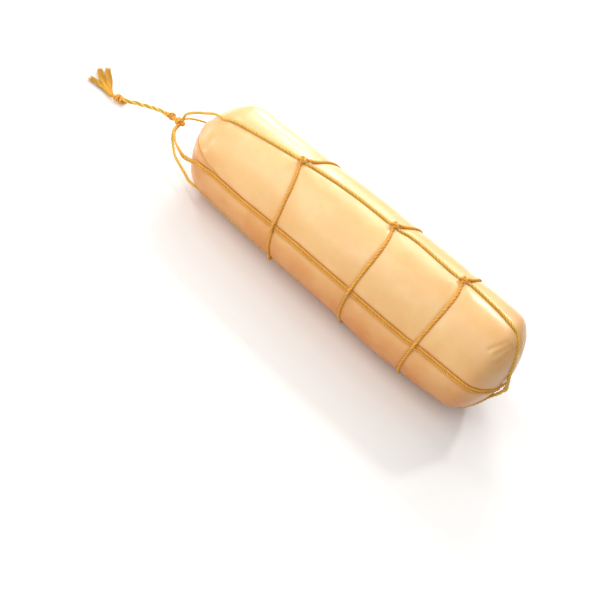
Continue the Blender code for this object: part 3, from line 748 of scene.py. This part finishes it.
def cord_skin(
    line, reference, seed, radius=CORD_RADIUS, plies=PLIES, pitch=CORD_PITCH, seat=PLY_SEAT,
    step=CORD_STEP, closed=False,
):
    """A twisted cord's points, faces, depth between its plies, which is the mark for painted shade, and
    UV.

    Round the line stands the outline of its plies, twisted. The columns turn with it, so that
    each one follows its own place on a ply. The radius ripples a little.
    """
    points, at = evenly(line, step, closed)
    rows, columns = len(points), plies * PLY_COLUMNS
    run = at[:rows]
    first, second = frames(points, np.asarray(reference, float), closed)
    turn = np.linspace(0, 2 * math.pi, columns, endpoint=False)
    section = ply_section(turn, plies, seat)
    facing = (turn + twist_along(run, at[-1], plies, pitch, seed, closed)[:, None])[..., None]
    outward = swung(facing, first[:, None], second[:, None])
    size = radius * (1 + GIRTH_UNEVEN * ripple(run, seed))
    grid = points[:, None] + (size[:, None] * section)[..., None] * outward
    skin, faces, uv = grid.reshape(-1, 3), [grid_faces(rows, columns, closed)], cord_uv(at, columns)
    # Painted shade between the plies: 1 where the outline lies deepest.
    depth = np.tile((1 - section) / (1 - section.min()), rows)
    if not closed:
        skin = np.vstack([skin, points[:1], points[-1:]])
        faces.append(tip_faces(rows, columns))
        uv = np.vstack([uv, np.zeros((faces[-1].size, 2))])
        depth = np.append(depth, 2 * [END_DEPTH])
    return skin, faces, depth, uv


def joined(skins):
    """Several skins as one: each one's faces count on from the points before it."""
    points, faces, depth, uv = zip(*skins)
    starts = np.cumsum([0, *map(len, points)])
    faces = [group + start for own, start in zip(faces, starts) for group in own]
    return np.vstack(points), faces, np.concatenate(depth), np.vstack(uv)


def on_frame(made, slot, *nodes):
    """Puts a piece on the frame's one body to stand for these nodes, which it hides. The slot is not
    used.
    """
    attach(made, "root")
    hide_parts(*nodes)
    return made


def cord_object(name, skin, finish, *nodes):
    """A piece of cord that stands for its nodes of the frame."""
    points, faces, depth, uv = skin
    # The depth between the plies is the mark for painted shade there.
    return on_frame(skin_object(name, points, faces, finish, {"between": depth}, uv), "cord", *nodes)


def knot_line(centre, ways, size, start=0.0):
    """A tight knot's line: the trefoil (sin t + 2 sin 2t) / 3, (cos t - 2 cos 2t) / 3, -sin 3t,
    in a box of these half sizes."""
    t = np.linspace(0, 2 * math.pi, KNOT_POINTS, endpoint=False) + start
    trefoil = np.stack([
        (np.sin(t) + 2 * np.sin(2 * t)) / 3,
        (np.cos(t) - 2 * np.cos(2 * t)) / 3,
        -np.sin(3 * t),
    ], axis=-1)
    return centre + (trefoil * np.asarray(size)) @ ways


def coil_line(centre, ways, length, reach, turns, start, lean):
    """Turns of cord round a bundle: a helix whose turns lean, and that dips in at its two ends
    by a share that grows with a power of the distance from its middle."""
    t = np.linspace(0, 1, COIL_POINTS)
    facing = start + 2 * math.pi * turns * t
    along = length * (t - 0.5) + lean * np.cos(facing)
    away = reach * (1 - COIL_DIP * np.abs(2 * t - 1) ** COIL_DIP_POWER)
    local = np.stack([along, away * np.cos(facing), away * np.sin(facing)], axis=-1)
    return centre + local @ ways


def ways_along(direction, upward=UPWARD):
    """Three square unit directions, the first along the given one."""
    first = unit(np.asarray(direction, float))
    second = unit(np.cross(upward, first))
    return np.stack([first, second, np.cross(first, second)])


def wound_skins(centre, ways, coils, lay):
    """The coils of a lump of wound cord, each laid as its cord is."""
    return [cord_skin(coil_line(centre, ways, *coil), ways[0], seed, **lay) for seed, *coil in coils]


def end_knot_piece(finish):
    """The knot at the tail's end: cord wound round the tail, level on the surface."""
    centre = beside_tip(END_KNOT_CENTRE)
    heading = centre - beside_tip(TAIL_ROUTE[-1])
    heading[2] = 0.0
    skins = wound_skins(centre, ways_along(heading), END_COILS, END_KNOT_LAY)
    return cord_object("tail_end_knot", joined(skins), finish, "end_knot")


def tail_pieces(finish, fibre, knot_finish):
    """The free tail down to the surface, the knot at its end, and the tuft of loose fibres."""
    line, run = evenly(smooth_line(beside_tip((*TAIL_ROUTE, TAIL_INSIDE_KNOT))), CORD_STEP)
    tail = cord_object("tail", cord_skin(line, SIDEWAYS, **TAIL_LAY), finish, "tail_cord")
    knot = end_knot_piece(knot_finish)
    tuft = tuft_piece(fibre)


def fibre_skin(lines, radius):
    """Thin round fibres along many lines at once: rows of points round each line, closed at its ends."""
    count, rows = lines.shape[:2]
    along = unit(np.gradient(lines, axis=1))
    first = unit(np.cross(along, ASKEW))
    second = np.cross(along, first)
    turn = np.linspace(0, 2 * math.pi, FIBRE_SIDES, endpoint=False)
    around = swung(turn[:, None], first[:, :, None], second[:, :, None])
    grid = lines[:, :, None] + radius[..., None, None] * around
    points = np.concatenate([grid.reshape(count, -1, 3), lines[:, :1], lines[:, -1:]], axis=1)
    offsets = np.arange(count)[:, None, None] * points.shape[1]
    squares = (grid_faces(rows, FIBRE_SIDES)[None] + offsets).reshape(-1, 4)
    tips = (tip_faces(rows, FIBRE_SIDES)[None] + offsets).reshape(-1, 3)
    return points.reshape(-1, 3), [squares, tips]


def strand_middle(number, share):
    """A strand's middle line at these shares of its length, from inside the end knot to its tip."""
    aside = STRAND_GAP * (number - (len(TUFT_STRANDS) - 1) / 2)
    begin = np.array(TUFT_ROOT) + np.array([0.0, aside, 0.0])
    ends = [(*point, STRAND_HEIGHT + STRAND_RISE * number) for point in TUFT_STRANDS[number]]
    strand = evenly(smooth_line(beside_tip([TUFT_INSIDE_KNOT, begin, *ends])), CURVE_STEP)[0]
    return sampled(strand, np.linspace(0, 1, len(strand)), share)


def strand_fibres(random, middle, share):
    """One strand's fibres: their lines, and how much painted shade each gets among the others.

    A fibre keeps its own place in the strand's round section, which widens with the distance
    to a power. It waves a little on the way, and it ends a little before or past the others.
    """
    along = unit(np.gradient(middle, axis=0))
    level = unit(np.cross(along, UPWARD))
    upward = np.cross(level, along)
    reach = np.sqrt(random.uniform(0, 1, FIBRES))
    twist = FIBRE_TWIST * (share - FIBRE_UNTWIST * share**2)
    facing = random.uniform(0, 2 * math.pi, FIBRES)[:, None] + twist
    opened = np.clip(share / STRAND_SPREAD_BY, 0, 1) ** STRAND_SPREAD_POWER
    section = STRAND_ROOT + STRAND_SPREAD * opened
    wave = random.uniform(0, 2 * math.pi, (2, FIBRES, 1))
    ways = random.uniform(*FIBRE_WAYS, (2, FIBRES, 1))
    wobble = FIBRE_WAVE * np.sin(ways * share + wave) * share
    wide, high = STRAND_FLATNESS
    across = reach[:, None] * np.cos(facing) * section * wide + wobble[0]
    up = reach[:, None] * np.sin(facing) * section * high + wobble[1]
    ahead = random.uniform(-FIBRE_UNEVEN, FIBRE_UNEVEN, FIBRES)[:, None] * share**3
    lines = middle + across[..., None] * level + up[..., None] * upward + ahead[..., None] * along
    lines[..., 2] = np.maximum(lines[..., 2], FIBRE_LEAST_HEIGHT)
    # Painted shade: darker towards the strand's sides, varied at random.
    side = np.abs(np.cos(facing[:, DARKNESS_ROW])) * reach
    gain, varied = FIBRE_DARKNESS
    return lines, np.clip(gain * side - varied + random.uniform(-varied, varied, FIBRES), 0, 1)


def tuft_piece(finish):
    """The loose ends: each strand is a bundle of fibres that spreads out at its tip like a brush."""
    random = np.random.default_rng(TUFT_SEED)
    share = np.linspace(0, 1, FIBRE_ROWS)
    middles = [strand_middle(number, share) for number in range(len(TUFT_STRANDS))]
    strands = [strand_fibres(random, middle, share) for middle in middles]
    lines, dark = (np.concatenate(parts) for parts in zip(*strands))
    radius = np.broadcast_to(FIBRE_RADIUS * (1 - FIBRE_TAPER * share), lines.shape[:2])
    points, faces = fibre_skin(lines, radius)
    tips = np.concatenate([np.repeat(share, FIBRE_SIDES), [0.0, 1.0]])
    # Each fibre's painted shade, and how far along its strand each point is.
    marks = {"between": np.repeat(dark, len(tips)), "tip": np.tile(tips, len(lines))}
    return on_frame(skin_object("tuft", points, faces, finish, marks), "cord", "tassel")


def axis_way():
    """The direction of the cheese's axis, towards its foot."""
    return place(1.0, 0.0, 0.0) - place(0.0, 0.0, 0.0)


def tie_knot_skin(centre, outward, start):
    """The half-hitch that ties a ring to the top cord, as a small tight knot of cord."""
    line = knot_line(centre, ways_along(-axis_way(), outward), TIE_KNOT, start)
    return cord_skin(line, unit(outward), start, **TIE_LAY)


def ring_pieces(finish):
    """The rings of cord round the cheese, each with the knot that ties it to the top cord."""
    for number, ring in enumerate(RINGS, start=1):
        angle = math.radians(ring["angle"])
        along = ring_place(ring, angle)
        centre = rind(along, angle, RING_LIFT + CROSSING_RISE + KNOT_RISE)
        loop = cord_skin(above_surface(ring_route(ring)), FOOTWARD, number, closed=True)
        knot = tie_knot_skin(centre, centre - place(along, 0.0, 0.0), TIE_START * number)
        cord_object(f"ring_{number}", joined([loop, knot]), finish, f"ring_cord_{number}")


def foot_knot_skin():
    """The small tight knot where the lengthwise cords cross on the foot."""
    across, up = FOOT_CROSSING
    foot = rind(foot_along(across, up), math.atan2(across, up))
    outward = axis_way()
    centre = foot + outward * (FOOT_LIFT + CROSSING_LIFT + KNOT_RISE)
    line = knot_line(centre, ways_along(UPWARD, outward), FOOT_KNOT)
    return cord_skin(line, outward, **FOOT_KNOT_LAY)


def lengthwise_pieces(finish, pair_finish):
    """The three cords that run the length of the cheese, the first with the knot on the foot."""
    top, front, second = lengthwise_routes()
    cords = (
        ("top_and_under", top, SIDEWAYS, CORD_RADIUS, finish, [foot_knot_skin()]),
        ("front_and_far", front, UPWARD, PAIR_RADIUS, pair_finish, []),
        ("front_second", second, UPWARD, PAIR_RADIUS, pair_finish, []),
    )
    for seed, cord in enumerate(cords, start=LENGTHWISE_SEED):
        name, route, reference, radius, own_finish, knots = cord
        skin = cord_skin(above_surface(smooth_line(route)), reference, seed, radius=radius)
        cord_object(name, joined([skin, *knots]), own_finish, f"cord_{name}")


def gather_piece(finish):
    """The knot that gathers the cords: their bundle, bound by two lumps of wound cord."""
    start, end = place(*GATHER_START), place(*GATHER_END)
    ways = ways_along(end - start)
    core = start + np.linspace(*GATHER_CORE_ENDS, GATHER_CORE_POINTS)[:, None] * (end - start)
    skins = [cord_skin(core, ways[1], **CORE_LAY)]
    for share, coils in GATHER_LUMPS:
        skins += wound_skins(start + share * (end - start), ways, coils, GATHER_LAY)
    cord_object("gather", joined(skins), finish, "gather_knot")


def rind_rows():
    """How far from the tip the skin has its rows: even over the rind's own length."""
    turn = np.linspace(0, math.pi / 2, DOME_POINTS)
    hanging = HANGING_DOME * (1 - np.cos(turn) ** (2 / HANGING_ROUNDNESS))
    foot = LENGTH - FOOT_DOME * (1 - np.cos(turn[::-1]) ** (2 / FOOT_ROUNDNESS))
    side = np.linspace(hanging[-1], foot[0], SIDE_POINTS)[1:-1]
    along = np.concatenate([hanging, side, foot])
    run = summed(np.hypot(np.diff(along), np.diff(profile(along))))
    return np.interp(np.linspace(0, run[-1], RIND_ROWS + 2)[1:-1], run, along)


def from_polyline(along, angle, line):
    """Over the rind, the distance to a line of places and angles, negative on its lower side."""
    radius = profile(along)
    nearest = np.full(along.shape, math.inf)
    side = np.ones_like(along)
    flat = [(s, math.radians(a)) for s, a in line]
    for (s0, a0), (s1, a1) in zip(flat, flat[1:]):
        x, y = along - s0, wrapped(angle - a0) * radius
        dx, dy = s1 - s0, (a1 - a0) * profile((s0 + s1) / 2)
        share = np.clip((x * dx + y * dy) / (dx * dx + dy * dy), 0, 1)
        away = np.hypot(x - share * dx, y - share * dy)
        side = np.where(away < nearest, np.sign(y * dx - x * dy), side)
        nearest = np.minimum(nearest, away)
    return side * nearest


def crease_relief(along, angle):
    """The crease by the pair, a furrow with a fold above it, faint furrows on the foot, and their painted
    shade.
    """
    away = from_polyline(along, angle, CREASE)
    furrow = bell(away, CREASE_WIDTH)
    fold = np.where(away > 0, bell(away - FOLD_WIDTH / 2, FOLD_WIDTH), 0.0)
    relief = CREASE_DEPTH * (FOLD_SHARE * fold * (1 - furrow) - furrow)
    # Painted shade: in the furrow, and on a strip on the crease's lower side.
    strip = np.where(away < 0, STRIP_SHADE * np.exp(-((away / STRIP_WIDTH) ** 4)), 0.0)
    end, start = CREASE_FADE
    fade = np.clip((end - along) / (end - start), 0, 1)
    relief, crease_shade = fade * relief, fade * np.maximum(FURROW_SHADE * furrow, strip)
    for line in FOOT_CREASES:
        faint = bell(from_polyline(along, angle, line), CREASE_WIDTH)
        relief = relief - FOOT_CREASE_DEPTH * faint
        # Painted shade in the foot's furrows.
        crease_shade = np.maximum(crease_shade, FOOT_CREASE_SHADE * faint)
    return relief, crease_shade


def grain(points):
    """Faint lumps, about between -1 and 1: sines of many lengths and ways through space, seeded."""
    random = np.random.default_rng(GRAIN_SEED)
    shortest, longest = GRAIN_LENGTHS
    ways = unit(random.normal(size=(GRAIN_WAVES, 3)))
    lengths = shortest * (longest / shortest) ** random.uniform(0, 1, GRAIN_WAVES)
    phase = random.uniform(0, 2 * math.pi, GRAIN_WAVES)
    waves = np.sin(points @ (ways / lengths[:, None] * 2 * math.pi).T + phase)
    return waves @ (lengths / lengths.sum()) * GRAIN_GAIN


def shade(along, angle):
    """How much painted shade deepens the rind's colour, between 0 and 1: the most of the shade
    low on the tip, the one in the hollow beside the pair, and the one on the foot."""

    def risen(begin, full, share):
        return share * np.clip((along - begin) / (full - begin), 0, 1)

    low = 0.5 - 0.5 * np.cos(angle) * profile(along) / MIDDLE_RADIUS
    tip = np.minimum(low * risen(*TIP_SHADE), TIP_SHADE_MOST)
    foot = sum(risen(*one) for one in FOOT_SHADES)
    return np.maximum(np.maximum(tip, patch(along, angle, *HOLLOW)), foot)


def groove_marks(along, angle):
    """The groove that the cords press, and the band of painted shade beside them, each between 0 and 1.

    The pair counts as one broad cord. Neither mark reaches the tips, and a ring's knot lies on
    no groove of its own.
    """
    pair = np.maximum(run_distance(FRONT_RUN, along, angle) - PAIR_OFFSET, 0)
    away = np.minimum(cord_distance(along, angle), pair)
    (start, rise), (end, fall) = GROOVE_STARTS, GROOVE_ENDS
    tips = np.clip(np.minimum((along - start) / rise, (LENGTH - along - end) / fall), 0, 1)
    clear = 1 - bell(knot_distance(along, angle), KNOT_CLEARANCE)
    return bell(away, GROOVE_WIDTH) * tips * clear, bell(away, CORD_SHADE_WIDTH) * tips


def cheese_piece(finish):
    """The rind, grooved under its cords, creased beside the pair, and flat where it rests."""
    along = rind_rows()[:, None]
    angle = -np.linspace(0, 2 * math.pi, RIND_COLUMNS, endpoint=False)[None, :]
    along, angle = np.broadcast_arrays(along, angle)
    points, outward = rind_point(along, angle), rind_normal(along, angle)
    groove, painted_cord_and_crease_shade = groove_marks(along, angle)
    crease, crease_shade = crease_relief(along, angle)
    relief = crease - GROOVE_DEPTH * groove + GRAIN_DEPTH * grain(points)
    points = points + relief[..., None] * outward
    points[..., 2] = FLAT_EASE * np.logaddexp(0.0, points[..., 2] / FLAT_EASE)
    rows, columns = along.shape
    ends = np.stack([place(0.0, 0.0, 0.0), place(LENGTH, 0.0, 0.0)])
    # Both marks are painted shade: beside the cords and in the creases, and low on the tip, in the hollow
    # and on the foot.
    marks = {
        "painted_cord_and_crease_shade": np.append(np.maximum(painted_cord_and_crease_shade, crease_shade), [0.0, 0.0]),
        "shaded": np.append(shade(along, angle), POLE_SHADES),
    }
    faces = [grid_faces(rows, columns), tip_faces(rows, columns)]
    made = skin_object("rind", np.vstack([points.reshape(-1, 3), ends]), faces, finish, marks)
    on_frame(made, "rind", "cheese")


def feed(tree, target, source):
    """Links an output to an input, or sets the input's own value, a colour without its alpha."""
    if isinstance(source, bpy.types.NodeSocket):
        tree.links.new(source, target)
    elif target.type == "RGBA":
        target.default_value = (*source, 1.0)
    else:
        target.default_value = source


def node(tree, kind, inputs=None, **settings):
    """The outputs of a new node, once it has its settings and its inputs."""
    made = tree.nodes.new(kind)
    for key, value in settings.items():
        setattr(made, key, value)
    for key, value in (inputs or {}).items():
        feed(tree, made.inputs[key], value)
    return made.outputs


def reckon(tree, operation, first, second, clamp=False):
    """A sum, product or other reckoning of two values."""
    return node(tree, "ShaderNodeMath", {0: first, 1: second}, operation=operation, use_clamp=clamp)[0]


def blend(tree, share, first, second):
    """One colour over another by a share."""
    inputs = {"Factor": share, "A": first, "B": second}
    return node(tree, "ShaderNodeMix", inputs, data_type="RGBA")["Result"]


def tinted(tree, colour, value, share, tone):
    """A colour turned towards a tone by a share of a value."""
    return blend(tree, reckon(tree, "MULTIPLY", value, share), colour, tone)


def spread(tree, value, low, high, to_low=0.0, to_high=1.0):
    """A value carried smoothly from one range to another."""
    inputs = dict(enumerate((value, low, high, to_low, to_high)))
    return node(tree, "ShaderNodeMapRange", inputs, interpolation_type="SMOOTHSTEP")["Result"]


def noise(tree, vector, scale, detail, roughness):
    """Cloudy noise over a vector."""
    inputs = {"Vector": vector, "Scale": scale, "Detail": detail, "Roughness": roughness}
    return node(tree, "ShaderNodeTexNoise", inputs)["Fac"]


def mottle_group():
    """Uneven colour: broad clouds and fine flecks, each between 0 and 1, over a vector."""
    group = bpy.data.node_groups.new("uneven colour", "ShaderNodeTree")
    group.interface.new_socket(name="Vector", in_out="INPUT", socket_type="NodeSocketVector")
    for label in MOTTLES:
        for name, way in ((f"{label} Scale", "INPUT"), (label, "OUTPUT")):
            group.interface.new_socket(name=name, in_out=way, socket_type="NodeSocketFloat")
    given, made = node(group, "NodeGroupInput"), {}
    for label, (detail, roughness, low, high) in MOTTLES.items():
        uneven = noise(group, given["Vector"], given[f"{label} Scale"], detail, roughness)
        made[label] = spread(group, uneven, low, high)
    node(group, "NodeGroupOutput", made)
    return group


def mottled(tree, group, vector, cloud_scale, fleck_scale):
    """The uneven colour in a material: its clouds and its flecks, each at its own scale."""
    inputs = {"Vector": vector, "Cloud Scale": cloud_scale, "Fleck Scale": fleck_scale}
    made = node(tree, "ShaderNodeGroup", inputs, node_tree=group)
    return made["Cloud"], made["Fleck"]


def new_material(name, look):
    """A material, its node tree, and its shader with the values that are the same all over."""
    made = bpy.data.materials.new(name)
    made.use_nodes = True
    shader = made.node_tree.nodes["Principled BSDF"]
    for label, value in look.items():
        feed(made.node_tree, shader.inputs[label], value)
    return made, made.node_tree, shader.inputs


def attribute(tree, name):
    """A value that the mesh carries at its points."""
    return node(tree, "ShaderNodeAttribute", attribute_name=name)["Fac"]


def bumped(tree, height, distance, strength, **under):
    """A normal from a height, in metres, over another normal or none."""
    inputs = {"Height": height, "Distance": distance, "Strength": strength, **under}
    return node(tree, "ShaderNodeBump", inputs)["Normal"]


def rind_finish(mottle):
    """The thinly waxed rind, satin: cream to deep orange in soft clouds, with painted shade in places."""
    made, tree, skin = new_material("waxed rind", RIND_LOOK)
    where = node(tree, "ShaderNodeTexCoord")["Object"]
    cloud, fleck = mottled(tree, mottle, where, *RIND_MOTTLE)
    height = node(tree, "ShaderNodeSeparateXYZ", {0: where})["Z"]
    # Painted shade: more amber towards the bottom, by height, added to the rind's own amber clouds.
    amber_and_low_shade = reckon(tree, "MULTIPLY", spread(tree, height, *LOW_SHADE_HEIGHTS), LOW_SHADE_SHARE)
    amber_and_low_shade = reckon(tree, "ADD", amber_and_low_shade, reckon(tree, "MULTIPLY", cloud, AMBER_CLOUD), clamp=True)
    colour = blend(tree, amber_and_low_shade, RIND_CREAM, RIND_AMBER_AND_LOW_SHADE)
    # Painted shade: deeper low on the tip, in the hollow beside the pair and on the foot.
    colour = tinted(tree, colour, attribute(tree, "shaded"), *SHADED_TINT)
    colour = tinted(tree, colour, fleck, *FLECK_TINT)
    # Painted shade: darker beside the cords and in the creases.
    colour = tinted(tree, colour, attribute(tree, "painted_cord_and_crease_shade"), *CORD_AND_CREASE_SHADE_TINT)
    feed(tree, skin["Base Color"], colour)
    feed(tree, skin["Roughness"], spread(tree, cloud, 0.0, 1.0, *RIND_ROUGHNESS))
    feed(tree, skin["Normal"], bumped(tree, noise(tree, where, *SKIN_NOISE), *SKIN_BUMP))
    return made


def cord_finish(name, mottle, twisted=True):
    """Golden cord, dull, with painted shade between its plies: twisted, with streaks of fibre along
    each ply, or loose fibres with tips of their own colour."""
    dark, light, between = CORD_TONES[name]
    made, tree, skin = new_material(name, CORD_LOOK)
    where = node(tree, "ShaderNodeTexCoord")
    cloud, fleck = mottled(tree, mottle, where["Object"], *CORD_MOTTLE)
    if twisted:
        along = node(tree, "ShaderNodeMapping", {"Vector": where["UV"], "Scale": STREAK_SCALE})
        streak = noise(tree, along["Vector"], *STREAK_NOISE)
    else:
        streak = noise(tree, where["Object"], *FIBRE_NOISE)
    colour = blend(tree, spread(tree, streak, *STREAK_RANGE), dark, light)
    colour = tinted(tree, colour, cloud, CORD_CLOUD, dark)
    # Painted shade between the plies, or among the tuft's fibres; deepest on the tail cord.
    colour = tinted(tree, colour, attribute(tree, "between"), *between)
    if not twisted:
        colour = tinted(tree, colour, spread(tree, attribute(tree, "tip"), *TIP_RANGE), *TIP_TINT)
    feed(tree, skin["Base Color"], colour)
    feed(tree, skin["Roughness"], spread(tree, streak, *CORD_ROUGHNESS))
    under = bumped(tree, fleck, *FLECK_BUMP)
    feed(tree, skin["Normal"], bumped(tree, streak, *STREAK_BUMP, Normal=under))
    return made


def soft_light(name, where, aim, size, power, colour):
    """A soft light at a place, turned to face another, its width nearly level."""
    data = bpy.data.lights.new(name, "AREA")
    data.shape = "RECTANGLE"
    data.size, data.size_y = size
    data.energy = power
    data.color = colour
    back = unit(np.asarray(where, float) - np.asarray(aim, float))
    right = unit(np.cross(TILTED, back))
    stand(name, data, where, right, np.cross(back, right), back)


def studio():
    """A pale floor and surrounding, broad soft lights, and small ones for the highlights."""
    corners = np.array([(x, y, FLOOR_LEVEL) for x, y in zip(FLOOR_SPAN, np.roll(FLOOR_SPAN, 1))])
    floor = skin_object("floor", corners, [np.arange(4)[None]], new_material("pale floor", FLOOR_LOOK)[0])
    world = bpy.data.worlds.new("pale surrounding")
    world.use_nodes = True
    background = world.node_tree.nodes["Background"].inputs
    feed(world.node_tree, background["Color"], WHITE)
    feed(world.node_tree, background["Strength"], SURROUNDING)
    bpy.context.scene.world = world
    for name, light in LIGHTS.items():
        soft_light(name, *light)
    bpy.context.scene.view_settings.view_transform = "Standard"


def main():
    """Makes the camera, the cords, the rind and the light."""
    camera()
    mottle = mottle_group()
    yellow = cord_finish("golden cord", mottle)
    deeper = cord_finish("golden tail cord", mottle)
    fibre = cord_finish("golden fibre", mottle, twisted=False)
    orange = cord_finish("orange cord", mottle)
    tail_pieces(deeper, fibre, orange)
    gather_piece(orange)
    lengthwise_pieces(yellow, orange)
    ring_pieces(orange)
    cheese_piece(rind_finish(mottle))
    studio()


main()
